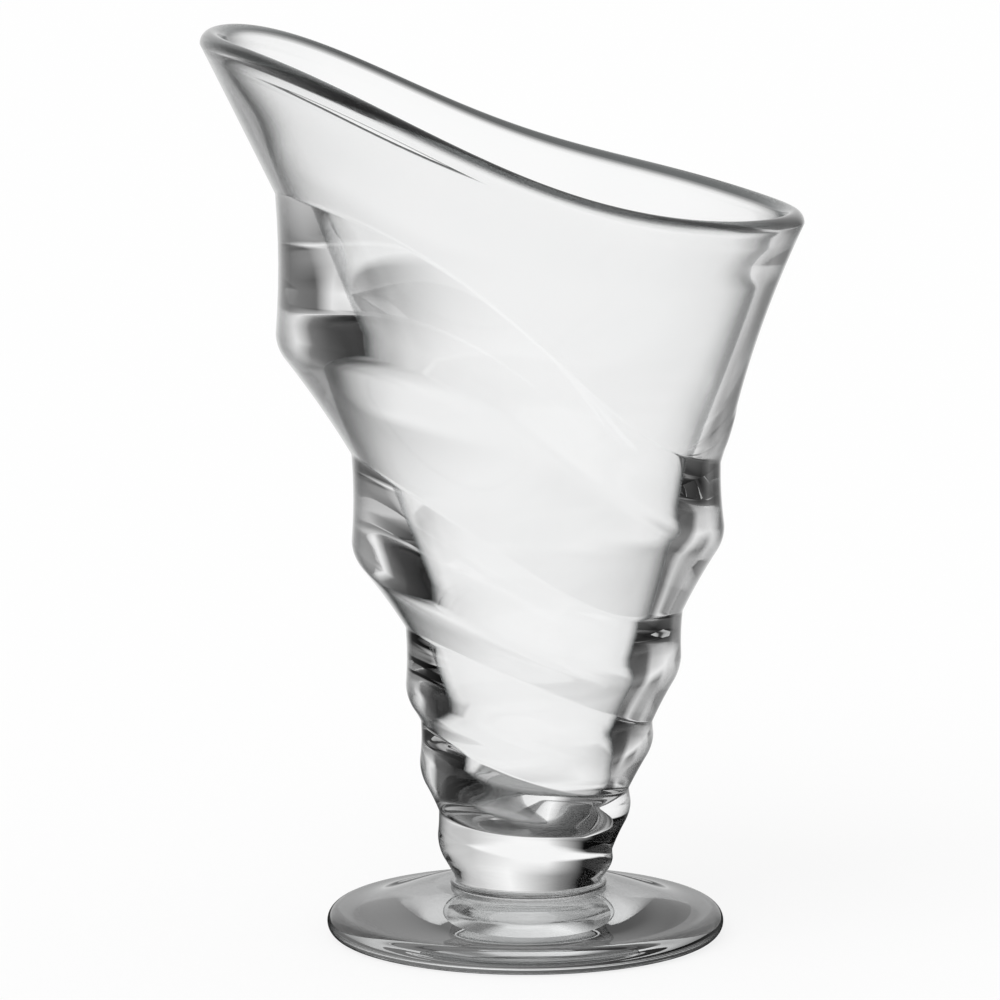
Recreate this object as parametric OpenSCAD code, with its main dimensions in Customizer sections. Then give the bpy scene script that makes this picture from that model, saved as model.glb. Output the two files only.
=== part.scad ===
// Parfait glass of clear pressed glass: a deep bowl whose outside winds down in one long
// helical step under a swept lip, welded through a thin collar to a round foot.
// The origin is the centre of the foot on the table. +Z is up and the low lip is towards +X.

/* [Glass] */
// Height of the glass at its high lip
glass_h = 170.9; // [150:0.1:200]
// Mean diameter of the bowl at its lip
lip_d = 112; // [100:0.5:130]
// Thickness of the bowl's wall at the lip
wall_t = 4.2; // [3:0.1:5.5]
// How far the lip rises on one side and falls on the other
lip_tilt = 17.7; // [8:0.1:24]
// How far the front and back of the lip hang below the middle of that slope
lip_sag = 3.2; // [0:0.1:6]
// Height of the polished rounding on top of the lip
lip_round_h = 2.3; // [1:0.1:3]
// Depth of glass between the bottom of the cavity and the collar
bowl_floor_t = 10.6; // [8:0.1:16]
// Diameter of the bowl's base where it is welded to the collar
base_d = 27.4; // [24:0.1:30]
// Softness of the step's outer edge
ridge_soft = 2.3; // [0.8:0.1:4]
// How far the bowl stands off the foot's centre, towards the low lip
bowl_shift = 2.1; // [0:0.1:4]
// How far the cavity stands off the foot's centre, towards the low lip
cavity_shift = 1.3; // [0:0.1:4.5]
// Height of the flare inside the lip, at the low side
flare_low_h = 9.3; // [5:0.1:16]
// Height of the flare inside the lip, at the high side
flare_high_h = 19.7; // [12:0.1:28]
// How far the bowl's base stands off the foot's centre, towards the low lip
base_shift = 0.6; // [0:0.1:3]

/* [Collar] */
// Diameter of the collar of weld glass
collar_d = 29.6; // [26:0.1:34]
// Thickness of the collar
collar_t = 1.2; // [0.6:0.1:3]

/* [Foot] */
// Diameter of the foot
foot_d = 75; // [66:0.5:90]
// Thickness of the foot at its rounded edge
foot_edge_t = 4.9; // [3:0.1:6.5]
// Height of the foot's crown, where the collar sits
foot_crown_h = 9.2; // [7:0.1:12]
// Diameter of the crown's level top
crown_d = 32; // [30:0.1:40]
// Width of the flat ring that the glass stands on
stand_w = 4.5; // [2:0.1:10]
// Depth of the hollow under the foot
hollow_h = 0.8; // [0.5:0.1:3.5]

/* [Smoothness] */
// Columns round one turn of the bowl
columns = 60; // [36:12:60]
// Facets round the foot and the collar
round_fn = 144; // [48:8:180]

/* [Hidden] */

glass_tint = [0.90, 0.93, 0.94, 0.45];
weld_tint = [0.80, 0.84, 0.86, 0.55];

lip_r = lip_d / 2;
base_r = base_d / 2;
seat_h = foot_crown_h + collar_t;
bowl_h = glass_h - seat_h;

// The step winds down clockwise seen from above. A turn is counted from the low lip,
// by the back, the high lip and the front, and a row stands at every half turn.
// Each row holds the inner corner's height and radius and the outer edge's height and radius,
// as shares of the bowl's height and the lip's radius.
step_shares = [
    [0.63, 0.72, 0.565, 0.68],
    [0.81, 0.87, 0.635, 0.87],
    [0.495, 0.615, 0.41, 0.63],
    [0.505, 0.62, 0.39, 0.62],
    [0.32, 0.49, 0.255, 0.485],
    [0.30, 0.44, 0.22, 0.44],
    [0.19, 0.39, 0.165, 0.395],
    [0.19, 0.39, 0.13, 0.39],
    [0.11, 0.32, 0.085, 0.335],
    [0.085, 0.315, 0.04, 0.31],
    [0.035, 0.28, 0.02, 0.285]
];
// How hollow the upright band and the slope under it are, as shares of their lengths
band_hollow_share = 0.02;
slope_hollow_share = 0.015;
// How far the corner's fall over each half turn gathers at the middle and lags there, and
// the same for the edge's fall, as shares of the half turn and of the fall. The back halves
// fall evenly.
even_run_shares = [0, 0, 0, 0];
run_shares = [
    [0, 0.4, 0, 0.4],
    [0.08, -0.05, 0.1, 0.15],
    even_run_shares,
    [0.05, -0.25, 0, -0.2],
    even_run_shares,
    [0, 0, -0.05, -0.05],
    even_run_shares,
    [0, -0.25, 0.05, 0],
    even_run_shares,
    [-0.05, 0.1, 0, 0.2],
    even_run_shares
];
// How fast the corner still climbs past each row, in shares of the bowl's height a half turn
climb_shares = [0, 0.12, -0.12, 0.1, -0.08, 0.08, 0, 0.04, 0, -0.05, -0.1, 0];
last_half = len(step_shares);
// Turn at which the step starts to part from the wall, and the turns it takes to do so
first_turn = -0.12;
parting = 0.2;
last_turn = last_half / 2;

// Cone of the cavity: height above the table as a share of the glass's height, and radius
// with the wall's thickness added as a share of the lip's radius
cavity_shares = [[0.18, 0.33], [0.37, 0.485], [1, 1.07]];
// Outside of the lip, in the same shares
lip_line_shares = [[0.78, 0.89], [1, 1.115]];
// Height of the cavity's rounded bottom, as a share of its radius there
bottom_round_share = 0.95;
// Finer waves of the lip, one to five to a turn, each with the share of the glass's height
// that it has along its cosine and its sine
lip_wave_shares = [
    [0, -0.0015], [0, 0.0025], [0.0045, 0.0005], [-0.0045, -0.002], [0.0015, 0]
];
// How far the wall under the lip is drawn in, at the low and the high side
wall_sag_shares = [0.015, 0];
// Height above the base, as a share of the bowl's, over which the bowl leans to its own axis
lean_share = 0.18;

wall_rows = 5;
lip_rows = 6;
// Rows of the cavity's side, and those of them that lie in the flare
cavity_rows = 9;
flare_rows = 5;
bottom_rows = 4;
arc_steps = 10;

function lerp(a, b, t) = a + (b - a) * t;
function clamp01(t) = max(0, min(1, t));
function smooth(t) = clamp01(t) * clamp01(t) * (3 - 2 * clamp01(t));
function bell(u) = sin(180 * u) * sin(180 * u);

// Height of the lip's top at an angle from the low lip
function sum(v) = v * [for (i = v) 1];
function lip_wave(a) = lip_sag * cos(2 * a) - lip_tilt * cos(a) + glass_h * sum([
    for (k = [1:len(lip_wave_shares)])
        lip_wave_shares[k - 1] * [cos(k * a), sin(k * a)]
]);
function lip_top(a) = glass_h + lip_wave(a) - lip_wave(180);
function lip_edge(a) = lip_top(a) - lip_round_h;

// Radius of the cavity's cone and of the lip's outside at a height
function cavity_r(z) = lip_r * lookup(z / glass_h, cavity_shares) - wall_t;
function lip_outer_r(z) = lip_r * lookup(z / glass_h, lip_line_shares);
// Height at which the inside starts to flare out to the lip, and the flared radius
function flare_start(a) = lip_edge(a) - lerp(flare_low_h, flare_high_h, (1 - cos(a)) / 2);
function inner_r(z, a) = let (start = flare_start(a), end = lip_edge(a))
    cavity_r(z) + (lip_outer_r(end) - wall_t - cavity_r(end)) * smooth((z - start) / (end - start));
cavity_floor = seat_h + bowl_floor_t;
bottom_z = cavity_floor + bottom_round_share * cavity_r(cavity_floor);

// Place of the bowl's axis at a height
function axis_x(z) = lerp(base_shift, bowl_shift, smooth((z - seat_h) / (bowl_h * lean_share)));

// Height and radius of a station's corner and of its edge
function station(h) = h >= last_half
    ? [seat_h, base_r, seat_h, base_r]
    : [
        seat_h + step_shares[h][0] * bowl_h,
        step_shares[h][1] * lip_r,
        seat_h + step_shares[h][2] * bowl_h,
        step_shares[h][3] * lip_r
    ];
function half_of(s) = max(0, min(last_half - 1, floor(2 * s)));
function part_of(s) = clamp01(2 * s - half_of(s));
function run(s, col) = let (u = part_of(s), row = run_shares[half_of(s)])
    (1 - cos(180 * (u - row[col] * sin(360 * u)))) / 2 - row[col + 1] * bell(u);
function climb(s) = let (u = part_of(s), h = half_of(s))
    bowl_h * u * (1 - u) * (climb_shares[h] * (1 - u) - climb_shares[h + 1] * u);
function between(s, col, share) = lerp(station(half_of(s))[col], station(half_of(s) + 1)[col], share);

// Inner corner of the step, as [height, radius]
function full_corner(s) = s >= last_turn
    ? [seat_h, base_r]
    : [between(s, 0, run(s, 0)) + climb(s), between(s, 1, run(s, 0))];
function parted(s) = smooth((s - first_turn) / parting);
function corner(s) = lerp(full_corner(s + 1), full_corner(s), parted(s));
// Outer edge of the step, before it is softened
function edge(s) = lerp(
    full_corner(s + 1),
    [between(s, 2, run(s, 2)), between(s, 3, run(s, 2))],
    parted(s)
);

// Profile of one turn of the step, from a corner to the corner below it
function toward(a, b, d) = a + (b - a) * (norm(b - a) > 0 ? min(0.45, d / norm(b - a)) : 0);
function profile(s) = let (
        c = corner(s),
        k = edge(s),
        n = full_corner(s + 1),
        upper = toward(k, c, ridge_soft),
        lower = toward(k, n, ridge_soft),
        band_hollow = [0, band_hollow_share * norm(upper - c)],
        slope_hollow = [0, slope_hollow_share * norm(n - lower)]
    ) [
        c,
        (c + upper) / 2 - band_hollow,
        upper,
        (upper + 2 * k + lower) / 4,
        lower,
        lerp(lower, n, 1 / 3) - slope_hollow,
        lerp(lower, n, 2 / 3) - slope_hollow
    ];
step_rows = 7;

function place(p, a) = [axis_x(p[0]) + p[1] * cos(a), p[1] * sin(a), p[0]];
function in_cavity(z, r, a) = [cavity_shift + r * cos(a), r * sin(a), z];

// Points of the bowl: the lip's rounding and the wall under it in closed rings, then the
// helical strip column by column, the base ring, and the cavity in closed rings
first_col = 0;
last_col = round((last_turn - first_turn) * columns);
function turn_of(c) = first_turn + c / columns;

function lip_point(i, a) = let (
        z = lip_edge(a),
        mid = lip_outer_r(z) - wall_t / 2,
        t = 180 * i / lip_rows
    ) in_cavity(z + lip_round_h * sin(t), mid - wall_t / 2 * cos(t), a);
function wall_point(i, c) = let (
        a = 360 * turn_of(c),
        t = i / wall_rows,
        high = (1 - cos(a)) / 2,
        sag = lip_r * lerp(wall_sag_shares[0], wall_sag_shares[1], high) * 4 * t * (1 - t)
    ) lerp(lip_point(lip_rows, a), place(corner(turn_of(c)), a), t) - sag * [cos(a), sin(a), 0];
function cavity_point(i, a) = let (
        z = i <= flare_rows
            ? lerp(lip_edge(a), flare_start(a), i / flare_rows)
            : lerp(flare_start(a), bottom_z, (i - flare_rows) / (cavity_rows - flare_rows))
    ) in_cavity(z, inner_r(z, a), a);
function bottom_point(i, a) = let (
        t = 90 * i / bottom_rows
    ) in_cavity(lerp(bottom_z, cavity_floor, sin(t)), cavity_r(bottom_z) * cos(t), a);

// The ring rows run from the middle of the cavity's floor up, over the lip and down the wall
ring_rows = (bottom_rows - 1) + cavity_rows + lip_rows + (wall_rows - 1) + 1;
function ring_point(i, c) = let (a = 360 * turn_of(c))
    i < bottom_rows - 1 ? bottom_point(bottom_rows - 1 - i, a)
    : i < bottom_rows - 1 + cavity_rows ? cavity_point(cavity_rows - (i - bottom_rows + 1), a)
    : i <= bottom_rows - 1 + cavity_rows + lip_rows
        ? lip_point(i - bottom_rows + 1 - cavity_rows, a)
    : wall_point(i - bottom_rows + 1 - cavity_rows - lip_rows, c);
ring_points = [for (i = [0:ring_rows - 1]) for (c = [0:columns - 1]) ring_point(i, c)];

// A strip column holds its corner first. The first column is the corner one turn below it.
strip_points = [
    for (c = [1:last_col - 1]) for (p = profile(turn_of(c))) place(p, 360 * turn_of(c))
];
base_points = [for (c = [0:columns - 1]) place([seat_h, base_r], 360 * turn_of(last_col + c))];
end_points = [
    [cavity_shift, 0, cavity_floor],
    [base_shift, 0, seat_h]
];

strip_start = len(ring_points);
base_start = strip_start + len(strip_points);
end_start = base_start + len(base_points);

function ring_id(i, c) = i * columns + c % columns;
function corner_id(c) = c == first_col ? corner_id(columns)
    : c < last_col ? strip_start + (c - 1) * step_rows
    : base_start + (c - last_col) % columns;
function strip_id(c, i) = i == step_rows ? corner_id(c + columns)
    : c == first_col || c == last_col ? corner_id(c == first_col ? columns : last_col)
    : corner_id(c) + i;

function quad(a, b, c, d) = [
    for (f = [[a, b, c], [a, c, d]]) if (f[0] != f[1] && f[1] != f[2] && f[2] != f[0]) f
];
bowl_points = concat(ring_points, strip_points, base_points, end_points);
bowl_faces = [
    for (i = [0:ring_rows - 2]) for (c = [0:columns - 1])
        each quad(ring_id(i, c), ring_id(i, c + 1), ring_id(i + 1, c + 1), ring_id(i + 1, c)),
    for (c = [0:columns - 1])
        each quad(
            ring_id(ring_rows - 1, c), ring_id(ring_rows - 1, c + 1),
            corner_id(c + 1), corner_id(c)
        ),
    for (c = [0:last_col - 1]) for (i = [0:step_rows - 1])
        each quad(strip_id(c, i), strip_id(c + 1, i), strip_id(c + 1, i + 1), strip_id(c, i + 1)),
    for (c = [0:columns - 1]) [ring_id(0, c + 1), ring_id(0, c), end_start],
    for (c = [0:columns - 1])
        [corner_id(last_col + c), corner_id(last_col + c + 1), end_start + 1]
];

module bowl() {
    color(glass_tint) polyhedron(points = bowl_points, faces = bowl_faces, convexity = 8);
}

// Rounded outline of a disc's edge: half a circle from its underside to its top
function round_edge(r, z, t) = [
    for (i = [0:2 * arc_steps]) let (a = -90 + 90 * i / arc_steps)
        [r - t / 2 + t / 2 * cos(a), z + t / 2 + t / 2 * sin(a)]
];

module weld_collar() {
    color(weld_tint) translate([base_shift, 0, foot_crown_h])
        rotate_extrude($fn = round_fn)
            polygon(concat([[0, 0]], round_edge(collar_d / 2, 0, collar_t), [[0, collar_t]]));
}

stand_r = foot_d / 2 - foot_edge_t / 2;
hollow_r = stand_r - stand_w;
// The crown rises from the rounded edge in one soft slope
crown_start_r = stand_r;
function crown_point(t) = [
    lerp(crown_start_r, crown_d / 2, t),
    lerp(foot_edge_t, foot_crown_h, smooth(t))
];
function hollow_point(t) = [hollow_r * (1 - t), hollow_h * smooth(t * 1.6)];

module foot() {
    color(glass_tint) rotate_extrude($fn = round_fn)
        polygon(concat(
            [for (i = [arc_steps:-1:0]) hollow_point(i / arc_steps)],
            round_edge(foot_d / 2, 0, foot_edge_t),
            [for (i = [1:arc_steps]) crown_point(i / arc_steps)],
            [[0, foot_crown_h]]
        ));
}

bowl();
weld_collar();
foot();
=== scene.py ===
"""A parfait glass of clear pressed glass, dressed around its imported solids.

The bowl is rebuilt as a dense surface from the same helical law as the part's source, because
refraction shows every facet. The collar and the foot are turned from a drawn section.
Sizes are in millimetres until a mesh is made, and the frame is in metres.
"""

import logging
import math
from dataclasses import dataclass, field
from enum import Enum
from typing import Callable, Sequence

import bpy
from mathutils import Matrix, Vector


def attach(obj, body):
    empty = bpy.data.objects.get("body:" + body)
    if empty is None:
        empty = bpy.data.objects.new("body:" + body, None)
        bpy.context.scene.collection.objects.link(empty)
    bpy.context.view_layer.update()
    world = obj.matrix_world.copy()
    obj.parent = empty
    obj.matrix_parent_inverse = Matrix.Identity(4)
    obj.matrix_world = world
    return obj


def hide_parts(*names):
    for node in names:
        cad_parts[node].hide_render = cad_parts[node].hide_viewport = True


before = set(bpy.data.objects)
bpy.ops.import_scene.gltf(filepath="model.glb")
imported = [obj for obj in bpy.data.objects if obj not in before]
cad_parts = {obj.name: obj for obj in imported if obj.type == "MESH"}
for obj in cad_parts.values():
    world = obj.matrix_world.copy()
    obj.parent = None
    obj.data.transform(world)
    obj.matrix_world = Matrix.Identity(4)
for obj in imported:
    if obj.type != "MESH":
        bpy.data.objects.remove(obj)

LOG = logging.getLogger("parfait_glass")
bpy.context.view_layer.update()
MM = 0.001
TURN = 360.0
HALF_TURN = 180.0
QUARTER_TURN = 90.0
BODY = "root"
CLOSE_ENOUGH = 1e-7
ON_AXIS = 1e-5
# Name of the attribute that masks the lip's rounding for its painted dark shade
RIM_SHADE_MARK = "rim_shade_share"
# Factors that bring t * (1 - t) to 1 at the middle, and at a third and two thirds
BOW_AT_MIDDLE = 4.0
BOW_AT_THIRDS = 4.5
# Values between which a noise texture mostly lies
NOISE_LOW, NOISE_HIGH = 0.35, 0.75
# Straight behind the glass, as a place on a colour ramp that takes in a whole turn
RAMP_MIDDLE = 0.5
# A count of throws that is passed by the first one
ANY_THROW = 0.5

Section = tuple[float, float]
Point = tuple[float, float, float]
Colour = tuple[float, float, float]
Piece = bpy.types.Object
Tree = bpy.types.NodeTree
Outlet = bpy.types.NodeSocket
Rooms = tuple[Tree, Tree]

EVEN_RUN = (0, 0, 0, 0)
FOOT_TINT = (0.93, 0.94, 0.94)


class Slot(Enum):
    """Material slots of the record."""

    BOWL = "bowl_glass"
    WELD = "weld_glass"
    FOOT = "foot_glass"


class Ray(Enum):
    """Kinds of ray that a Light Path node tells apart."""

    CAMERA = "Is Camera Ray"
    GLOSSY = "Is Glossy Ray"
    TRANSMISSION = "Is Transmission Ray"


def mix(a: float, b: float, share: float) -> float:
    """Value at a share of the way from a to b."""
    return a + (b - a) * share


def smooth(share: float) -> float:
    """Soft step from 0 to 1, level at both ends."""
    share = max(0.0, min(1.0, share))
    return share * share * (3 - 2 * share)


def mix_section(a: Section, b: Section, share: float) -> Section:
    """Point at a share of the way between two points of a section."""
    return mix(a[0], b[0], share), mix(a[1], b[1], share)


def side_length(a: Section, b: Section) -> float:
    """Length of the straight side between two points of a section."""
    return math.hypot(b[0] - a[0], b[1] - a[1])


def toward(a: Section, b: Section, distance: float, most: float = 0.45) -> Section:
    """Point a distance from a towards b.

    Args:
        a: The point to start from.
        b: The point to move towards.
        distance: How far to move, in millimetres.
        most: The largest share of the way to go.

    Returns:
        The point that is reached.
    """
    length = side_length(a, b)
    return mix_section(a, b, min(most, distance / length) if length else 0.0)


def table_value(table: Sequence[Section], at: float) -> float:
    """Value of a table of (place, value) rows at a place, straight between its rows.

    Args:
        table: Rows in rising order of place.
        at: The place to look up.

    Returns:
        The value there, held level past both ends.
    """
    if at <= table[0][0]:
        return table[0][1]
    for (lower, a), (upper, b) in zip(table, table[1:]):
        if at <= upper:
            return mix(a, b, (at - lower) / (upper - lower))
    return table[-1][1]


@dataclass(frozen=True)
class GlassSizes:
    """Named sizes of the whole glass, as in the part's source."""

    glass_h: float = 170.9
    lip_d: float = 112.0
    wall_t: float = 4.2
    lip_tilt: float = 17.7
    lip_sag: float = 3.2
    lip_round_h: float = 2.3
    bowl_floor_t: float = 10.6
    base_d: float = 27.4
    ridge_soft: float = 2.3
    bowl_shift: float = 2.1
    cavity_shift: float = 1.3
    flare_low_h: float = 9.3
    flare_high_h: float = 19.7
    base_shift: float = 0.6
    collar_d: float = 29.6
    collar_t: float = 1.2
    foot_d: float = 75.0
    foot_edge_t: float = 4.9
    foot_crown_h: float = 9.2
    crown_d: float = 32.0
    stand_w: float = 4.5
    hollow_h: float = 0.8
    weld_overlap: float = 0.06

    @property
    def lip_r(self) -> float:
        """Mean radius of the bowl at its lip."""
        return self.lip_d / 2

    @property
    def base_r(self) -> float:
        """Radius of the bowl's base."""
        return self.base_d / 2

    @property
    def seat_h(self) -> float:
        """Height of the bowl's base above the table."""
        return self.foot_crown_h + self.collar_t

    @property
    def bowl_h(self) -> float:
        """Height of the bowl above its base."""
        return self.glass_h - self.seat_h


@dataclass(frozen=True)
class StepLaw:
    """How the step winds down the bowl, as shares of its height and of the lip's radius.

    A turn is counted clockwise from the low lip, by the back, the high lip and the front.
    Each row of stations holds the corner's height and radius and the edge's height and radius.
    """

    sizes: GlassSizes
    stations: tuple[tuple[float, ...], ...] = (
        (0.63, 0.72, 0.565, 0.68),
        (0.81, 0.87, 0.635, 0.87),
        (0.495, 0.615, 0.41, 0.63),
        (0.505, 0.62, 0.39, 0.62),
        (0.32, 0.49, 0.255, 0.485),
        (0.30, 0.44, 0.22, 0.44),
        (0.19, 0.39, 0.165, 0.395),
        (0.19, 0.39, 0.13, 0.39),
        (0.11, 0.32, 0.085, 0.335),
        (0.085, 0.315, 0.04, 0.31),
        (0.035, 0.28, 0.02, 0.285),
    )
    band_hollow: float = 0.02
    slope_hollow: float = 0.015
    # How the corner's and the edge's fall gather at the middle of a half turn, and lag there.
    # All back halves but the first fall evenly.
    runs: tuple[tuple[float, ...], ...] = (
        (0, 0.4, 0, 0.4),
        (0.08, -0.05, 0.1, 0.15),
        EVEN_RUN,
        (0.05, -0.25, 0, -0.2),
        EVEN_RUN,
        (0, 0, -0.05, -0.05),
        EVEN_RUN,
        (0, -0.25, 0.05, 0),
        EVEN_RUN,
        (-0.05, 0.1, 0, 0.2),
        EVEN_RUN,
    )
    climbs: tuple[float, ...] = (0, 0.12, -0.12, 0.1, -0.08, 0.08, 0, 0.04, 0, -0.05, -0.1, 0)
    first_turn: float = -0.12
    parting: float = 0.2

    @property
    def last_half(self) -> int:
        """Number of half turns in the step."""
        return len(self.stations)

    @property
    def last_turn(self) -> float:
        """Turn at which the step has run down to the base."""
        return self.last_half / 2

    def half_of(self, s: float) -> int:
        """Half turn that a turn lies in."""
        return max(0, min(self.last_half - 1, math.floor(2 * s)))

    def part_of(self, s: float) -> float:
        """How far a turn is through its half turn."""
        return max(0.0, min(1.0, 2 * s - self.half_of(s)))

    def station(self, half: int) -> tuple[float, ...]:
        """Row of the step at a half turn, in millimetres.

        Args:
            half: Number of the half turn.

        Returns:
            Corner height and radius, and edge height and radius.
        """
        form = self.sizes
        if half >= self.last_half:
            return form.seat_h, form.base_r, form.seat_h, form.base_r
        row = self.stations[half]
        return (
            form.seat_h + row[0] * form.bowl_h,
            row[1] * form.lip_r,
            form.seat_h + row[2] * form.bowl_h,
            row[3] * form.lip_r,
        )

    def between(self, s: float, column: int, share: float) -> float:
        """Value of a station column at a share of the way through the half turn of s."""
        half = self.half_of(s)
        return mix(self.station(half)[column], self.station(half + 1)[column], share)

    def run(self, s: float, column: int) -> float:
        """Share of a half turn's fall that is done at a turn.

        Args:
            s: The turn.
            column: 0 for the corner and 2 for the edge.

        Returns:
            The share, 0 at the half turn's start and 1 at its end.
        """
        part = self.part_of(s)
        gather, lag = self.runs[self.half_of(s)][column:column + 2]
        eased = part - gather * math.sin(2 * math.pi * part)
        return (1 - math.cos(math.pi * eased)) / 2 - lag * math.sin(math.pi * part) ** 2

    def climb(self, s: float) -> float:
        """How far the corner stands above its plain fall, from its slope at the stations.

        Args:
            s: The turn.

        Returns:
            The height in millimetres.
        """
        part, half = self.part_of(s), self.half_of(s)
        pull = self.climbs[half] * (1 - part) - self.climbs[half + 1] * part
        return self.sizes.bowl_h * part * (1 - part) * pull

    def full_corner(self, s: float) -> Section:
        """Place of the step's inner corner, once it has parted from the wall.

        Args:
            s: The turn.

        Returns:
            The corner's height and radius.
        """
        if s >= self.last_turn:
            return self.sizes.seat_h, self.sizes.base_r
        share = self.run(s, 0)
        return self.between(s, 0, share) + self.climb(s), self.between(s, 1, share)

    def parted(self, s: float) -> float:
        """Share of the step's depth that a turn has reached."""
        return smooth((s - self.first_turn) / self.parting)

    def corner(self, s: float) -> Section:
        """Height and radius of the step's inner corner."""
        return mix_section(self.full_corner(s + 1), self.full_corner(s), self.parted(s))

    def edge(self, s: float) -> Section:
        """Place of the step's outer edge, before it is softened.

        Args:
            s: The turn.

        Returns:
            The edge's height and radius.
        """
        share = self.run(s, 2)
        edge = self.between(s, 2, share), self.between(s, 3, share)
        return mix_section(self.full_corner(s + 1), edge, self.parted(s))


@dataclass(frozen=True)
class StepDensity:
    """How finely the step's profile is drawn."""

    band_rows: int = 6
    ridge_rows: int = 8
    slope_rows: int = 7
    crease: float = 0.58
    most_crease: float = 0.3


@dataclass
class SteppedBowl:
    """The bowl: a helically stepped outside, a plunger's smooth cavity and a swept lip."""

    sizes: GlassSizes
    law: StepLaw
    density: StepDensity = field(default_factory=StepDensity)
    columns: int = 240
    wall_rows: int = 14
    lip_rows: int = 16
    cavity_rows: int = 44
    flare_rows: int = 18
    bottom_rows: int = 16
    cavity: tuple[Section, ...] = ((0.18, 0.33), (0.37, 0.485), (1.0, 1.07))
    lip_line: tuple[Section, ...] = ((0.78, 0.89), (1.0, 1.115))
    lip_waves: tuple[Section, ...] = (
        (0, -0.0015), (0, 0.0025), (0.0045, 0.0005), (-0.0045, -0.002), (0.0015, 0),
    )
    wall_sags: Section = (0.015, 0.0)
    bottom_round: float = 0.95
    lean: float = 0.18
    rim_shade_reach: float = 2.0
    name: str = "bowl_glass_body"

    def lip_wave(self, angle: float) -> float:
        """Height of the lip at an angle, against its mean.

        Args:
            angle: Degrees from the low lip.

        Returns:
            The height in millimetres.
        """
        form = self.sizes
        turn = math.radians(angle)
        waves = sum(
            even * math.cos(k * turn) + odd * math.sin(k * turn)
            for k, (even, odd) in enumerate(self.lip_waves, 1)
        )
        sweep = form.lip_sag * math.cos(2 * turn) - form.lip_tilt * math.cos(turn)
        return sweep + form.glass_h * waves

    def lip_edge(self, angle: float) -> float:
        """Height at which the lip's rounding starts, at an angle from the low lip."""
        form = self.sizes
        return form.glass_h + self.lip_wave(angle) - self.lip_wave(HALF_TURN) - form.lip_round_h

    def cavity_r(self, height: float) -> float:
        """Radius of the cavity's cone at a height."""
        share = table_value(self.cavity, height / self.sizes.glass_h)
        return self.sizes.lip_r * share - self.sizes.wall_t

    def lip_outer_r(self, height: float) -> float:
        """Radius of the lip's outside where its rounding starts, at a height."""
        form = self.sizes
        return form.lip_r * table_value(self.lip_line, height / form.glass_h)

    def flare_start(self, angle: float) -> float:
        """Height at which the cavity starts to flare towards the lip."""
        high = (1 - math.cos(math.radians(angle))) / 2
        return self.lip_edge(angle) - mix(self.sizes.flare_low_h, self.sizes.flare_high_h, high)

    def inner_r(self, height: float, angle: float) -> float:
        """Radius of the cavity's side, flare included.

        Args:
            height: Height above the table.
            angle: Degrees from the low lip.

        Returns:
            The radius in millimetres.
        """
        edge, start = self.lip_edge(angle), self.flare_start(angle)
        flare = self.lip_outer_r(edge) - self.sizes.wall_t - self.cavity_r(edge)
        return self.cavity_r(height) + flare * smooth((height - start) / (edge - start))

    @property
    def cavity_floor(self) -> float:
        """Height of the lowest point of the cavity."""
        return self.sizes.seat_h + self.sizes.bowl_floor_t

    @property
    def bottom_h(self) -> float:
        """Height at which the cavity's rounded bottom starts."""
        floor = self.cavity_floor
        return floor + self.bottom_round * self.cavity_r(floor)

    def axis_x(self, height: float) -> float:
        """Place of the bowl's axis at a height.

        Args:
            height: Height above the table.

        Returns:
            How far it stands off the foot's centre, towards the low lip.
        """
        form = self.sizes
        rise = smooth((height - form.seat_h) / (form.bowl_h * self.lean))
        return mix(form.base_shift, form.bowl_shift, rise)

    def on_outside(self, at: Section, angle: float) -> Point:
        """Point of the outside.

        Args:
            at: Its height and radius.
            angle: Degrees from the low lip.

        Returns:
            The point, in millimetres.
        """
        turn = math.radians(angle)
        height, radius = at
        return self.axis_x(height) + radius * math.cos(turn), radius * math.sin(turn), height

    def in_cavity(self, height: float, radius: float, angle: float) -> Point:
        """Point about the cavity's axis."""
        turn = math.radians(angle)
        return self.sizes.cavity_shift + radius * math.cos(turn), radius * math.sin(turn), height

    def profile(self, s: float) -> list[Section]:
        """Profile of one turn of the step, from a corner to the corner below it.

        Args:
            s: The turn at which the profile starts.

        Returns:
            Heights and radii, both corners included.
        """
        law, dense = self.law, self.density
        top, edge, low = law.corner(s), law.edge(s), law.full_corner(s + 1)
        upper = toward(edge, top, self.sizes.ridge_soft)
        lower = toward(edge, low, self.sizes.ridge_soft)
        band_hollow = law.band_hollow * side_length(top, upper)
        slope_hollow = law.slope_hollow * side_length(lower, low)

        def crease_share(a: Section, b: Section) -> float:
            """Share of a side that the soft crease takes."""
            length = side_length(a, b)
            return min(dense.most_crease, dense.crease / length) if length else dense.most_crease

        rows: list[Section] = [top]
        start = crease_share(top, upper)
        for i in range(dense.band_rows):
            t = mix(start, 1.0, i / dense.band_rows)
            height, radius = mix_section(top, upper, t)
            rows.append((height, radius - BOW_AT_MIDDLE * t * (1 - t) * band_hollow))
        for i in range(dense.ridge_rows + 1):
            t = i / dense.ridge_rows
            rows.append(mix_section(mix_section(upper, edge, t), mix_section(edge, lower, t), t))
        end = 1 - crease_share(lower, low)
        for i in range(1, dense.slope_rows + 1):
            t = end * i / dense.slope_rows
            height, radius = mix_section(lower, low, t)
            rows.append((height, radius - BOW_AT_THIRDS * t * (1 - t) * slope_hollow))
        return rows + [low]

    def lip_point(self, share: float, angle: float) -> Point:
        """Point of the lip's rounding.

        Args:
            share: How far round it, from the cavity's side at 0 to the outside at 1.
            angle: Degrees from the low lip.

        Returns:
            The point, in millimetres.
        """
        form = self.sizes
        height = self.lip_edge(angle)
        half = math.pi * share
        middle = self.lip_outer_r(height) - form.wall_t / 2
        radius = middle - form.wall_t / 2 * math.cos(half)
        return self.in_cavity(height + form.lip_round_h * math.sin(half), radius, angle)

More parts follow.
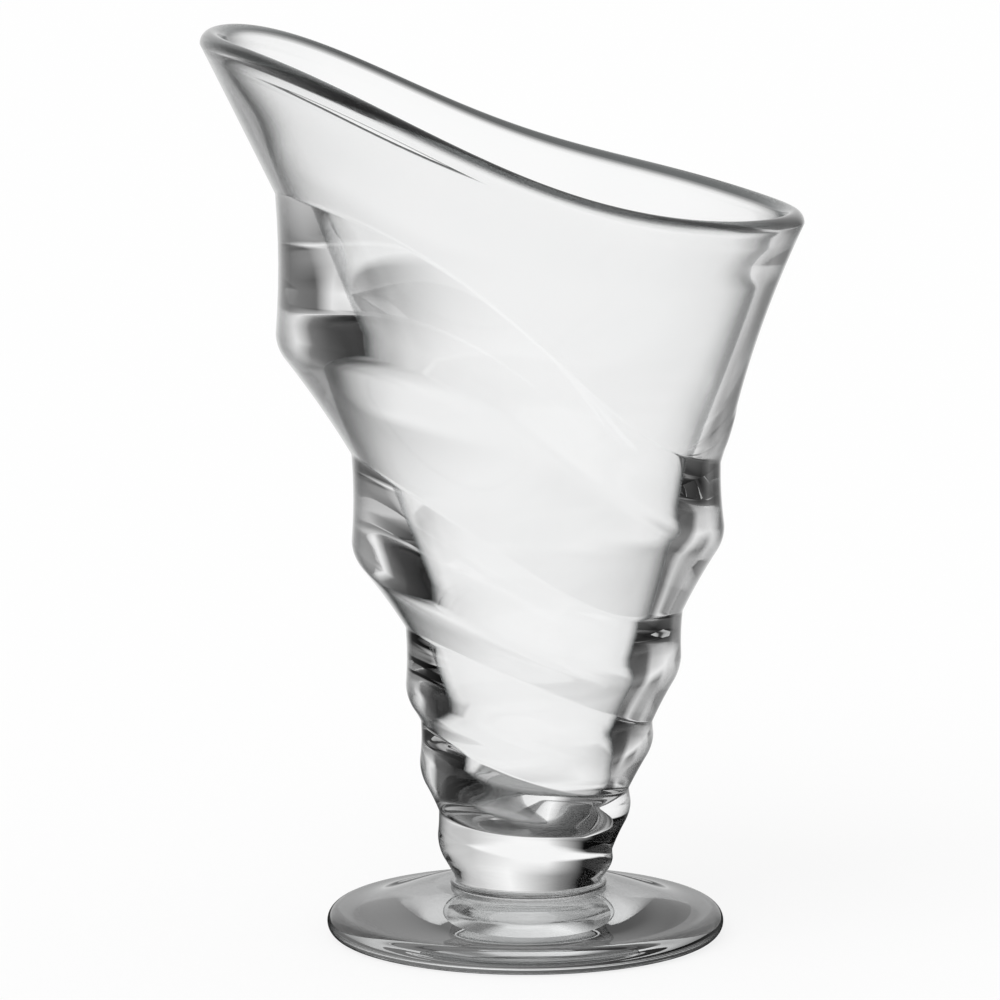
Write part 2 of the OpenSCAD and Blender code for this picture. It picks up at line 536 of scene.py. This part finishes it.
    def wall_point(self, share: float, s: float) -> Point:
        """Point of the wall under the lip.

        Args:
            share: How far down it, from the lip at 0 to the step's first corner at 1.
            s: The turn.

        Returns:
            The point, in millimetres.
        """
        angle = TURN * s
        turn = math.radians(angle)
        high = (1 - math.cos(turn)) / 2
        bow = BOW_AT_MIDDLE * share * (1 - share)
        sag = self.sizes.lip_r * mix(*self.wall_sags, high) * bow
        lip = self.lip_point(1.0, angle)
        foot = self.on_outside(self.law.corner(s), angle)
        x, y, z = (mix(a, b, share) for a, b in zip(lip, foot))
        return x - sag * math.cos(turn), y - sag * math.sin(turn), z

    def ring_column(self, s: float) -> list[Point]:
        """Column of the closed part, from the cavity's floor over the lip down the wall.

        Args:
            s: The turn at which the column stands.

        Returns:
            The column's points.
        """
        angle = TURN * s
        low, bottom = self.cavity_floor, self.bottom_h
        column = []
        for i in range(self.bottom_rows):
            t = math.pi / 2 * (1 - i / self.bottom_rows)
            radius = self.cavity_r(bottom) * math.cos(t)
            column.append(self.in_cavity(mix(bottom, low, math.sin(t)), radius, angle))
        start, edge = self.flare_start(angle), self.lip_edge(angle)
        heights = [mix(bottom, start, i / self.cavity_rows) for i in range(self.cavity_rows)]
        heights += [mix(start, edge, i / self.flare_rows) for i in range(self.flare_rows)]
        column += [self.in_cavity(height, self.inner_r(height, angle), angle) for height in heights]
        column += [self.lip_point(i / self.lip_rows, angle) for i in range(self.lip_rows)]
        crease = 1 - self.density.crease / self.wall_height(s)
        for i in range(self.wall_rows + 1):
            column.append(self.wall_point(crease * i / self.wall_rows, s))
        return column + [self.on_outside(self.law.corner(s), angle)]

    def wall_height(self, s: float) -> float:
        """Height of the wall between the lip's rounding and the step's first corner."""
        return self.lip_edge(TURN * s) - self.law.corner(s)[0]

    def mark_rim_shade(self, mesh: bpy.types.Mesh) -> None:
        """Marks the polished rounding of the lip for its painted dark shade; its points come ring
        column by column.

        Args:
            mesh: The bowl's mesh, as laid in grids.
        """
        first = self.bottom_rows + self.cavity_rows + self.flare_rows
        rows = len(self.ring_column(self.law.first_turn))
        mark = mesh.attributes.new(RIM_SHADE_MARK, "FLOAT", "POINT")
        for i in range(self.lip_rows + 1):
            share = smooth(self.rim_shade_reach * math.sin(math.pi * i / self.lip_rows))
            for column in range(self.columns):
                mark.data[column * rows + first + i].value = share

    def build(self) -> Piece:
        """Lays the surface in grids and closes them into one shell.

        Returns:
            The bowl's object, at the origin.
        """
        law = self.law
        steps = round((law.last_turn - law.first_turn) * self.columns)
        turns = [law.first_turn + i / self.columns for i in range(steps + self.columns + 1)]
        rings = [self.ring_column(s) for s in turns[:self.columns]]
        strip = [
            [self.on_outside(at, TURN * s) for at in self.profile(s)]
            for s in turns[:steps + 1]
        ]
        form = self.sizes
        sunk = form.seat_h - form.weld_overlap
        seat = [self.on_outside((form.seat_h, form.base_r), TURN * s) for s in turns[steps:]]
        base = [[(x, y, z), (x, y, sunk), (form.base_shift, 0.0, sunk)] for x, y, z in seat]
        points, faces = [], []
        for grid, closed in ((rings, True), (strip, False), (base, False)):
            first = len(points)
            rows = len(grid[0])
            points += [at for column in grid for at in column]
            for i in range(len(grid) if closed else len(grid) - 1):
                here, there = first + i * rows, first + (i + 1) % len(grid) * rows
                faces += [
                    (here + j, there + j, there + j + 1, here + j + 1) for j in range(rows - 1)
                ]
        mesh = bpy.data.meshes.new(self.name)
        mesh.from_pydata([Vector(at) * MM for at in points], [], faces)
        self.mark_rim_shade(mesh)
        bowl = bpy.data.objects.new(self.name, mesh)
        bpy.context.scene.collection.objects.link(bowl)
        close_shell(bowl)
        return bowl


def select_only(piece: Piece) -> None:
    """Makes a piece the only selected and active object.

    Args:
        piece: The object.
    """
    bpy.ops.object.select_all(action="DESELECT")
    piece.select_set(True)
    bpy.context.view_layer.objects.active = piece


def close_shell(piece: Piece) -> None:
    """Merges a piece's seams and poles, points its faces outwards and smooths it.

    Args:
        piece: The object with the mesh.
    """
    select_only(piece)
    bpy.ops.object.mode_set(mode="EDIT")
    bpy.ops.mesh.select_all(action="SELECT")
    bpy.ops.mesh.remove_doubles(threshold=CLOSE_ENOUGH)
    bpy.ops.mesh.dissolve_degenerate(threshold=CLOSE_ENOUGH)
    bpy.ops.mesh.normals_make_consistent(inside=False)
    bpy.ops.object.mode_set(mode="OBJECT")
    bpy.ops.object.shade_smooth()


def select_points(piece: Piece, test: Callable[[Vector], bool]) -> None:
    """Selects the points of a piece in edit mode that pass a test on their place.

    Args:
        piece: The object, in edit mode.
        test: Takes a place in metres and says whether it is selected.
    """
    bpy.ops.mesh.select_all(action="DESELECT")
    bpy.ops.object.mode_set(mode="OBJECT")
    for vertex in piece.data.vertices:
        vertex.select = test(vertex.co)
    bpy.ops.object.mode_set(mode="EDIT")


def extrude_along(start: Section, path: Sequence[Section]) -> None:
    """Extrudes the selected point of a section along a path.

    Args:
        start: Radius and height of the selected point, in millimetres.
        path: The radii and heights that the section passes through.
    """
    here = start
    for there in path:
        move = Vector((there[0] - here[0], 0, there[1] - here[1])) * MM
        bpy.ops.mesh.extrude_region_move(TRANSFORM_OT_translate={"value": move})
        here = there


@dataclass
class TurnedDisc:
    """A disc with a half-round edge, turned from a drawn section about an upright axis."""

    name: str
    radius: float
    thickness: float
    base_h: float
    axis_x: float
    top: Sequence[Section]
    under: Sequence[Section]
    edge_points: int = 48
    turn_steps: int = 192

    def build(self) -> Piece:
        """Draws half the edge, extrudes the top and the underside, and spins the section.

        Returns:
            The disc's object, at the origin.
        """
        middle = self.radius - self.thickness / 2
        bpy.ops.object.select_all(action="DESELECT")
        bpy.ops.mesh.primitive_circle_add(
            vertices=self.edge_points,
            radius=self.thickness / 2 * MM,
            location=(middle * MM, 0, (self.base_h + self.thickness / 2) * MM),
            rotation=(math.pi / 2, 0, 0),
        )
        disc = bpy.context.object
        disc.name = disc.data.name = self.name
        bpy.ops.object.transform_apply(location=True, rotation=True, scale=True)
        bpy.ops.object.mode_set(mode="EDIT")
        bpy.ops.mesh.select_mode(type="VERT")
        select_points(disc, lambda at: at.x < middle * MM - ON_AXIS)
        bpy.ops.mesh.delete(type="VERT")
        low, high = self.base_h, self.base_h + self.thickness
        half = self.thickness / 2 * MM
        select_points(disc, lambda at: at.x < middle * MM + ON_AXIS and at.z > high * MM - half)
        extrude_along((middle, high), self.top)
        select_points(
            disc,
            lambda at: middle * MM - ON_AXIS < at.x < middle * MM + ON_AXIS
            and at.z < low * MM + half,
        )
        extrude_along((middle, low), self.under)
        bpy.ops.mesh.select_all(action="SELECT")
        bpy.ops.mesh.spin(
            steps=self.turn_steps, angle=2 * math.pi, center=(0, 0, 0), axis=(0, 0, 1)
        )
        bpy.ops.object.mode_set(mode="OBJECT")
        disc.data.transform(Matrix.Translation((self.axis_x * MM, 0, 0)))
        close_shell(disc)
        return disc


@dataclass
class WeldedFoot:
    """The round foot and the thin collar of weld glass that carries the bowl."""

    sizes: GlassSizes
    slope_points: int = 24
    collar_edge_points: int = 24
    hollow_steepness: float = 1.6

    def foot(self) -> Piece:
        """Turns the foot, with its rounded edge, soft crown and shallow hollow.

        Returns:
            The foot's object, at the origin.
        """
        form = self.sizes
        middle = (form.foot_d - form.foot_edge_t) / 2
        hollow_r = middle - form.stand_w
        steps = [i / self.slope_points for i in range(1, self.slope_points + 1)]
        crown = [
            (mix(middle, form.crown_d / 2, t), mix(form.foot_edge_t, form.foot_crown_h, smooth(t)))
            for t in steps
        ]
        hollow = [
            (hollow_r * (1 - t), form.hollow_h * smooth(self.hollow_steepness * t))
            for t in steps
        ]
        return TurnedDisc(
            name="foot_body",
            radius=form.foot_d / 2,
            thickness=form.foot_edge_t,
            base_h=0.0,
            axis_x=0.0,
            top=[*crown, (0.0, form.foot_crown_h)],
            under=[(hollow_r, 0.0), *hollow],
        ).build()

    def collar(self) -> Piece:
        """Turns the collar, sunk a little into the foot's crown.

        Returns:
            The collar's object, at the origin.
        """
        form = self.sizes
        low = form.foot_crown_h - form.weld_overlap
        return TurnedDisc(
            name="weld_collar_body",
            radius=form.collar_d / 2,
            thickness=form.seat_h - low,
            base_h=low,
            axis_x=form.base_shift,
            top=[(0.0, form.seat_h)],
            under=[(0.0, low)],
            edge_points=self.collar_edge_points,
        ).build()


def socket(
    group: Tree, name: str, way: str, kind: str, value: float | tuple[float, ...] | None = None
) -> None:
    """Adds a socket to a node group.

    Args:
        group: The group.
        name: The socket's name.
        way: INPUT or OUTPUT.
        kind: The socket's type.
        value: Its value when nothing is joined to it.
    """
    made = group.interface.new_socket(name=name, in_out=way, socket_type=kind)
    if value is not None:
        made.default_value = value


def add_node(tree: Tree, kind: str, **settings: object) -> bpy.types.Node:
    """Adds a node to a tree.

    Args:
        tree: The tree.
        kind: The node's type.
        **settings: Properties to set on it.

    Returns:
        The node.
    """
    node = tree.nodes.new(kind)
    for key, value in settings.items():
        setattr(node, key, value)
    return node


def math_node(tree: Tree, operation: str, *values: float | Outlet) -> Outlet:
    """Adds a Math node.

    Args:
        tree: The tree to add it to.
        operation: The Math node's operation.
        *values: Numbers, or sockets to join.

    Returns:
        The node's output.
    """
    node = add_node(tree, "ShaderNodeMath", operation=operation)
    for slot_in, value in zip(node.inputs, values):
        if isinstance(value, Outlet):
            tree.links.new(value, slot_in)
        else:
            slot_in.default_value = value
    return node.outputs[0]


def pressed_surface() -> Tree:
    """Group for the skin of pressed glass: soft waves, fine ripple, gloss and depth of tint.

    Returns:
        The node group.
    """
    group = bpy.data.node_groups.new("pressed_glass_surface", "ShaderNodeTree")
    socket(group, "Wave Scale", "INPUT", "NodeSocketFloat", 55.0)
    socket(group, "Ripple Scale", "INPUT", "NodeSocketFloat", 320.0)
    socket(group, "Ripple Share", "INPUT", "NodeSocketFloat", 0.12)
    socket(group, "Least Roughness", "INPUT", "NodeSocketFloat", 0.0)
    socket(group, "Most Roughness", "INPUT", "NodeSocketFloat", 0.02)
    socket(group, "Clear Tint", "INPUT", "NodeSocketColor", (1, 1, 1, 1))
    socket(group, "Deep Tint", "INPUT", "NodeSocketColor", (0.95, 0.97, 0.97, 1))
    socket(group, "Height", "OUTPUT", "NodeSocketFloat")
    socket(group, "Roughness", "OUTPUT", "NodeSocketFloat")
    socket(group, "Tint", "OUTPUT", "NodeSocketColor")
    given = add_node(group, "NodeGroupInput")
    made = add_node(group, "NodeGroupOutput")
    place = add_node(group, "ShaderNodeTexCoord").outputs["Object"]

    def noise(scale: str, detail: float) -> Outlet:
        """Noise over the piece.

        Args:
            scale: Name of the group's input with the noise's scale.
            detail: How many finer layers it has.

        Returns:
            The noise.
        """
        node = add_node(group, "ShaderNodeTexNoise")
        node.inputs["Detail"].default_value = detail
        group.links.new(place, node.inputs["Vector"])
        group.links.new(given.outputs[scale], node.inputs["Scale"])
        return node.outputs["Fac"]

    waves, ripple = noise("Wave Scale", detail=1.0), noise("Ripple Scale", detail=2.0)
    fine = math_node(group, "MULTIPLY", ripple, given.outputs["Ripple Share"])
    group.links.new(math_node(group, "ADD", waves, fine), made.inputs["Height"])
    spread = add_node(group, "ShaderNodeMapRange")
    group.links.new(ripple, spread.inputs["Value"])
    spread.inputs["From Min"].default_value = NOISE_LOW
    spread.inputs["From Max"].default_value = NOISE_HIGH
    group.links.new(given.outputs["Least Roughness"], spread.inputs["To Min"])
    group.links.new(given.outputs["Most Roughness"], spread.inputs["To Max"])
    group.links.new(spread.outputs["Result"], made.inputs["Roughness"])
    tint = add_node(group, "ShaderNodeMix", data_type="RGBA")
    group.links.new(waves, tint.inputs["Factor"])
    group.links.new(given.outputs["Clear Tint"], tint.inputs["A"])
    group.links.new(given.outputs["Deep Tint"], tint.inputs["B"])
    group.links.new(tint.outputs["Result"], made.inputs["Tint"])
    return group


@dataclass(frozen=True)
class GlassFinish:
    """Clear pressed glass.

    Light that is thrown round inside it is let out after a few throws, because the small
    flaws that let it out of real glass aren't modelled. A dark tint on surfaces seen at a
    glancing angle and on the polished rim is painted shade: it draws the fine dark lines that
    real glass gets from the dark room its edges refract.
    """

    name: str
    slot: Slot
    clear_tint: Colour = (1.0, 1.0, 1.0)
    deep_tint: Colour = (0.98, 0.985, 0.985)
    least_roughness: float = 0.0
    most_roughness: float = 0.002
    wave_scale: float = 55.0
    wave_depth: float = 0.00002
    ior: float = 1.5
    most_throws: float = 3.5
    # Painted shade: glass seen at a glancing angle is tinted this dark, for the dark room that its
    # edges refract
    edge_painted_shade: Colour = (0.04, 0.045, 0.045)
    edge_shade_start: float = 0.5
    edge_shade_end: float = 0.88
    # Painted shade on the polished rim, for the dark room that the rim refracts
    rim_painted_shade: Colour = (0.02, 0.022, 0.022)

    def tint(self, tree: Tree, clear: Outlet) -> Outlet:
        """Paints shade into the glass's tint, dark on the rim and at glancing angles.

        Args:
            tree: The material's tree.
            clear: The tint that it has elsewhere.

        Returns:
            The tint, with the painted shade.
        """
        # Painted shade on the rim, masked by the rim's attribute
        rim = add_node(tree, "ShaderNodeMix", data_type="RGBA")
        mark = add_node(tree, "ShaderNodeAttribute", attribute_name=RIM_SHADE_MARK)
        tree.links.new(mark.outputs["Fac"], rim.inputs["Factor"])
        tree.links.new(clear, rim.inputs["A"])
        rim.inputs["B"].default_value = (*self.rim_painted_shade, 1)
        # Painted shade at glancing angles, from Layer Weight's Facing
        glancing = add_node(tree, "ShaderNodeLayerWeight").outputs["Facing"]
        edge = add_node(tree, "ShaderNodeMapRange", interpolation_type="SMOOTHSTEP")
        tree.links.new(glancing, edge.inputs["Value"])
        edge.inputs["From Min"].default_value = self.edge_shade_start
        edge.inputs["From Max"].default_value = self.edge_shade_end
        tint = add_node(tree, "ShaderNodeMix", data_type="RGBA")
        tree.links.new(edge.outputs["Result"], tint.inputs["Factor"])
        tree.links.new(rim.outputs["Result"], tint.inputs["A"])
        tint.inputs["B"].default_value = (*self.edge_painted_shade, 1)
        return tint.outputs["Result"]

    def material(self, surface: Tree) -> bpy.types.Material:
        """Builds the finish's material.

        Args:
            surface: The shared group for the skin of pressed glass.

        Returns:
            The material.
        """
        material = bpy.data.materials.new(self.name)
        material.use_nodes = True
        tree = material.node_tree
        shader = tree.nodes["Principled BSDF"]
        shader.inputs["Metallic"].default_value = 0.0
        shader.inputs["Transmission Weight"].default_value = 1.0
        shader.inputs["IOR"].default_value = self.ior
        skin = add_node(tree, "ShaderNodeGroup", node_tree=surface)
        skin.inputs["Wave Scale"].default_value = self.wave_scale
        skin.inputs["Least Roughness"].default_value = self.least_roughness
        skin.inputs["Most Roughness"].default_value = self.most_roughness
        skin.inputs["Clear Tint"].default_value = (*self.clear_tint, 1)
        skin.inputs["Deep Tint"].default_value = (*self.deep_tint, 1)
        bump = add_node(tree, "ShaderNodeBump")
        bump.inputs["Strength"].default_value = 1.0
        bump.inputs["Distance"].default_value = self.wave_depth
        tree.links.new(skin.outputs["Height"], bump.inputs["Height"])
        tree.links.new(bump.outputs["Normal"], shader.inputs["Normal"])
        tint = self.tint(tree, skin.outputs["Tint"])
        tree.links.new(tint, shader.inputs["Base Color"])
        tree.links.new(skin.outputs["Roughness"], shader.inputs["Roughness"])
        thrown = add_node(tree, "ShaderNodeLightPath").outputs["Glossy Depth"]
        held = math_node(tree, "LESS_THAN", thrown, self.most_throws)
        tree.links.new(held, shader.inputs["Alpha"])
        return material

    def dress(self, piece: Piece, surface: Tree) -> None:
        """Gives a piece the finish.

        Args:
            piece: The object.
            surface: The shared group for the skin of pressed glass.
        """
        piece.data.materials.clear()
        piece.data.materials.append(self.material(surface))


@dataclass(frozen=True)
class Tier:
    """A ring of the room's wall at one elevation, as the glass sees it.

    Each stop is a bearing and the wall's tone there, and the tone runs straight between them.
    Bearings are in degrees from straight behind the glass, positive towards its high lip.
    """

    elevation: float
    stops: tuple[Section, ...]


WHITE_RING = ((-180, 1.0), (180, 1.0))
# Painted shadow: the table under the foot, as the glass sees it, is dimmed to this tone
FOOT_SHADE_RING = ((-180, 0.35), (180, 0.35))
# The room straight through the glass: a painted shadow of the foot on the table, white behind it,
# a black card on the left of the photograph, a pale grey card on its right and a dimmer room
# behind the camera
STRAIGHT_ROOM = (
    Tier(-64, FOOT_SHADE_RING),
    Tier(-52, WHITE_RING),
    Tier(-16, WHITE_RING),
    Tier(-8, (
        (-180, 0.85), (-75, 0.8), (-30, 0.6), (-12, 1.0), (10, 1.0), (17, 0.8), (23, 0.4),
        (30, 0.0), (60, 0.0), (90, 0.6), (180, 0.85),
    )),
    Tier(0, (
        (-180, 0.7), (-60, 0.6), (-30, 0.6), (-5, 1.0), (8, 1.0), (15, 0.6), (28, 0.0),
        (60, 0.0), (90, 0.4), (180, 0.7),
    )),
    Tier(14, (
        (-180, 0.5), (-60, 0.6), (-30, 0.7), (-10, 1.0), (0, 0.7), (15, 0.25), (30, 0.0),
        (60, 0.0), (90, 0.3), (180, 0.5),
    )),
)
# The room that thrown rays reach: a white sheet behind and low, grey above, and black at
# the sides and underneath
BENT_ROOM = (
    Tier(-50, ((-180, 0.05), (-15, 0.0), (5, 0.2), (45, 0.05), (90, 0.0), (180, 0.05))),
    Tier(-28, (
        (-180, 0.05), (-55, 0.1), (-45, 0.6), (15, 0.6), (25, 0.05), (90, 0.0), (180, 0.05),
    )),
    Tier(-18, (
        (-180, 0.1), (-140, 0.2), (-55, 0.2), (-45, 0.9), (20, 1.0), (40, 0.1), (90, 0.0),
        (180, 0.1),
    )),
    Tier(-5, (
        (-180, 0.5), (-140, 0.6), (-90, 0.3), (-55, 0.1), (-45, 0.7), (-35, 0.2), (-25, 0.2),
        (-15, 0.8), (20, 1.0), (40, 0.15), (90, 0.0), (150, 0.0), (180, 0.5),
    )),
    Tier(16, (
        (-180, 0.5), (-120, 0.6), (-75, 0.3), (-40, 0.6), (15, 0.8), (45, 0.5), (90, 0.1),
        (140, 0.1), (180, 0.5),
    )),
    Tier(30, ((-180, 0.5), (-90, 0.6), (0, 0.75), (60, 0.4), (130, 0.4), (180, 0.5))),
)


def room_group(name: str, tiers: Sequence[Tier]) -> Tree:
    """Group for the tone of the room in a direction from the glass.

    Args:
        name: Name of the group.
        tiers: The rings of the room's wall, from the lowest up.

    Returns:
        The node group.
    """
    group = bpy.data.node_groups.new(name, "ShaderNodeTree")
    socket(group, "Direction", "INPUT", "NodeSocketVector")
    socket(group, "Tone", "OUTPUT", "NodeSocketFloat")
    given = add_node(group, "NodeGroupInput")
    made = add_node(group, "NodeGroupOutput")
    parts = add_node(group, "ShaderNodeSeparateXYZ")
    group.links.new(given.outputs["Direction"], parts.inputs[0])
    left = math_node(group, "MULTIPLY", parts.outputs["X"], -1.0)
    bearing = math_node(group, "ARCTAN2", left, parts.outputs["Y"])
    place = math_node(group, "MULTIPLY_ADD", bearing, 1 / (2 * math.pi), RAMP_MIDDLE)

    def ring(tier: Tier) -> Outlet:
        """Tone of one ring of the wall at the direction's bearing.

        Args:
            tier: The ring.

        Returns:
            The tone.
        """
        node = add_node(group, "ShaderNodeValToRGB")
        group.links.new(place, node.inputs["Fac"])
        stops = node.color_ramp.elements
        while len(stops) < len(tier.stops):
            stops.new(1.0)
        for stop, (at, tone) in zip(stops, tier.stops):
            stop.position = at / TURN + RAMP_MIDDLE
            stop.color = (tone, tone, tone, 1)
        return node.outputs["Color"]

    tone = ring(tiers[0])
    for below, tier in zip(tiers, tiers[1:]):
        rise = add_node(group, "ShaderNodeMapRange")
        group.links.new(parts.outputs["Z"], rise.inputs["Value"])
        rise.inputs["From Min"].default_value = math.sin(math.radians(below.elevation))
        rise.inputs["From Max"].default_value = math.sin(math.radians(tier.elevation))
        blend = add_node(group, "ShaderNodeMix", data_type="RGBA")
        group.links.new(rise.outputs["Result"], blend.inputs["Factor"])
        group.links.new(tone, blend.inputs["A"])
        group.links.new(ring(tier), blend.inputs["B"])
        tone = blend.outputs["Result"]
    group.links.new(tone, made.inputs["Tone"])
    return group


@dataclass
class Studio:
    """Camera, floor, world and soft lamp about the glass.

    The camera sees white. Rays that go straight through the glass meet one room, white
    behind it and on the table but for a painted shadow under the foot, and rays thrown back
    inside the glass meet another, black at the sides. The cards and sheets of both rooms draw
    the step's edges.
    """

    eye: Point = (-4.8, -1100.0, 256.0)
    pitch: float = 8.95
    focal_px: float = 5942.4
    image_px: float = 1000.0
    sensor: float = 36.0
    floor_r: float = 6000.0
    floor_sides: int = 96
    floor_paint: float = 0.95
    floor_roughness: float = 0.9
    floor_show: float = 0.8
    far_clip: float = 50.0
    room_middle: float = 80.0
    ambient: float = 0.75
    lamp_strength: float = 1.1
    lamp_width: float = 50.0
    lamp_tilt: float = 40.0
    lamp_turn: float = -35.0
    straight_room: tuple[Tier, ...] = STRAIGHT_ROOM
    bent_room: tuple[Tier, ...] = BENT_ROOM

    def camera(self) -> None:
        """Sets up the camera at the photograph's viewing angle."""
        data = bpy.data.cameras.new("photo_camera")
        data.sensor_width = self.sensor
        data.lens = self.focal_px / self.image_px * self.sensor
        data.clip_end = self.far_clip
        camera = bpy.data.objects.new("photo_camera", data)
        camera.location = Vector(self.eye) * MM
        camera.rotation_euler = (math.radians(QUARTER_TURN - self.pitch), 0, 0)
        bpy.context.scene.collection.objects.link(camera)
        bpy.context.scene.camera = camera

    def through_glass(self, tree: Tree, rooms: Rooms, direction: Outlet) -> Outlet:
        """Tone that a ray out of the glass meets, straight or thrown back inside it.

        Args:
            tree: The tree to build in.
            rooms: The shared groups for the straight and the thrown rays' rooms.
            direction: Unit direction from the glass.

        Returns:
            The tone.
        """
        straight, bent = (add_node(tree, "ShaderNodeGroup", node_tree=room) for room in rooms)
        for room in (straight, bent):
            tree.links.new(direction, room.inputs["Direction"])
        path = add_node(tree, "ShaderNodeLightPath")
        choice = add_node(tree, "ShaderNodeMix", data_type="FLOAT")
        thrown = math_node(tree, "GREATER_THAN", path.outputs["Glossy Depth"], ANY_THROW)
        tree.links.new(thrown, choice.inputs["Factor"])
        tree.links.new(straight.outputs["Tone"], choice.inputs["A"])
        tree.links.new(bent.outputs["Tone"], choice.inputs["B"])
        return choice.outputs["Result"]

    def rays(self, tree: Tree, *kinds: Ray) -> Outlet:
        """Mask of some kinds of ray.

        Args:
            tree: The tree to build in.
            *kinds: The kinds.

        Returns:
            The mask, 1 for a ray of any of the kinds.
        """
        path = add_node(tree, "ShaderNodeLightPath")
        mask = path.outputs[kinds[0].value]
        for kind in kinds[1:]:
            mask = math_node(tree, "MAXIMUM", mask, path.outputs[kind.value])
        return mask

    def shown_tone(self, tree: Tree, rooms: Rooms, direction: Outlet) -> Outlet:
        """Tone shown to the eye: white to the camera, and the studio's rooms to the glass.

        Args:
            tree: The tree to build in.
            rooms: The shared groups for the straight and the thrown rays' rooms.
            direction: Unit direction from the glass.

        Returns:
            The tone.
        """
        seen = self.rays(tree, Ray.CAMERA)
        hidden = math_node(tree, "SUBTRACT", 1.0, seen)
        tone = math_node(tree, "MULTIPLY", hidden, self.through_glass(tree, rooms, direction))
        return math_node(tree, "ADD", seen, tone)

    def floor(self, rooms: Rooms) -> None:
        """Lays a plain pale floor that shows white and keeps the glass's shadow.

        Args:
            rooms: The shared groups for the straight and the thrown rays' rooms.
        """
        bpy.ops.object.select_all(action="DESELECT")
        bpy.ops.mesh.primitive_circle_add(
            vertices=self.floor_sides,
            radius=self.floor_r * MM,
            fill_type="NGON",
            location=(0, 0, 0),
        )
        floor = bpy.context.object
        floor.name = "studio_floor"
        material = bpy.data.materials.new("pale_floor")
        material.use_nodes = True
        tree = material.node_tree
        paint = tree.nodes["Principled BSDF"]
        paint.inputs["Base Color"].default_value = (*(self.floor_paint,) * 3, 1)
        paint.inputs["Roughness"].default_value = self.floor_roughness
        paint.inputs["Specular IOR Level"].default_value = 0.0
        place = add_node(tree, "ShaderNodeTexCoord").outputs["Object"]
        lowered = add_node(tree, "ShaderNodeVectorMath", operation="SUBTRACT")
        tree.links.new(place, lowered.inputs[0])
        lowered.inputs[1].default_value = (0, 0, self.room_middle * MM)
        unit = add_node(tree, "ShaderNodeVectorMath", operation="NORMALIZE")
        tree.links.new(lowered.outputs[0], unit.inputs[0])
        glow = add_node(tree, "ShaderNodeEmission")
        tree.links.new(self.shown_tone(tree, rooms, unit.outputs[0]), glow.inputs["Color"])
        blend = add_node(tree, "ShaderNodeMixShader")
        show = self.rays(tree, Ray.CAMERA, Ray.GLOSSY, Ray.TRANSMISSION)
        painted = math_node(tree, "MULTIPLY", self.rays(tree, Ray.CAMERA), 1 - self.floor_show)
        share = math_node(tree, "SUBTRACT", show, painted)
        tree.links.new(share, blend.inputs[0])
        tree.links.new(paint.outputs[0], blend.inputs[1])
        tree.links.new(glow.outputs[0], blend.inputs[2])
        tree.links.new(blend.outputs[0], tree.nodes["Material Output"].inputs["Surface"])
        floor.data.materials.append(material)

    def world(self, rooms: Rooms) -> None:
        """Paints the world: white to the camera, rooms to the glass, soft light for the rest.

        Args:
            rooms: The shared groups for the straight and the thrown rays' rooms.
        """
        world = bpy.data.worlds.new("studio_world")
        bpy.context.scene.world = world
        world.use_nodes = True
        tree = world.node_tree
        back = tree.nodes["Background"]
        back.inputs["Strength"].default_value = 1.0
        show = self.rays(tree, Ray.CAMERA, Ray.GLOSSY, Ray.TRANSMISSION)
        direction = add_node(tree, "ShaderNodeTexCoord").outputs["Generated"]
        tone = add_node(tree, "ShaderNodeMix", data_type="RGBA")
        tree.links.new(show, tone.inputs["Factor"])
        tone.inputs["A"].default_value = (*(self.ambient,) * 3, 1)
        tree.links.new(self.shown_tone(tree, rooms, direction), tone.inputs["B"])
        tree.links.new(tone.outputs["Result"], back.inputs["Color"])

    def lamp(self) -> None:
        """Hangs one large soft lamp high at the front left."""
        data = bpy.data.lights.new("soft_lamp", "SUN")
        data.energy = self.lamp_strength
        data.angle = math.radians(self.lamp_width)
        lamp = bpy.data.objects.new("soft_lamp", data)
        lamp.rotation_euler = (math.radians(self.lamp_tilt), 0, math.radians(self.lamp_turn))
        lamp.visible_transmission = False
        lamp.visible_glossy = False
        bpy.context.scene.collection.objects.link(lamp)

    def build(self) -> None:
        """Sets up everything about the glass."""
        bpy.context.scene.view_settings.view_transform = "Standard"
        rooms = (
            room_group("room_seen_straight", self.straight_room),
            room_group("room_seen_by_throws", self.bent_room),
        )
        self.camera()
        self.floor(rooms)
        self.world(rooms)
        self.lamp()


def carry(piece: Piece, node: str) -> None:
    """Makes a piece ride on the body in place of its solid, and reports it.

    Args:
        piece: The object.
        node: Name of the solid.
    """
    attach(piece, BODY)
    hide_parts(node)
    LOG.info("%s: %d faces, stands for %s", piece.name, len(piece.data.polygons), node)


def main() -> None:
    """Builds the glass piece by piece, dresses it and sets the studio up around it."""
    logging.basicConfig(level=logging.INFO, format="%(name)s: %(message)s")
    sizes = GlassSizes()
    surface = pressed_surface()
    bowl = SteppedBowl(sizes, StepLaw(sizes)).build()
    GlassFinish("clear_bowl_glass", Slot.BOWL).dress(bowl, surface)
    carry(bowl, "bowl")
    base = WeldedFoot(sizes)
    collar, foot = base.collar(), base.foot()
    GlassFinish("clear_weld_glass", Slot.WELD).dress(collar, surface)
    carry(collar, "weld_collar")
    GlassFinish(
        "clear_foot_glass", Slot.FOOT, clear_tint=FOOT_TINT, deep_tint=FOOT_TINT
    ).dress(foot, surface)
    carry(foot, "foot")
    Studio().build()


if __name__ == "__main__":
    main()
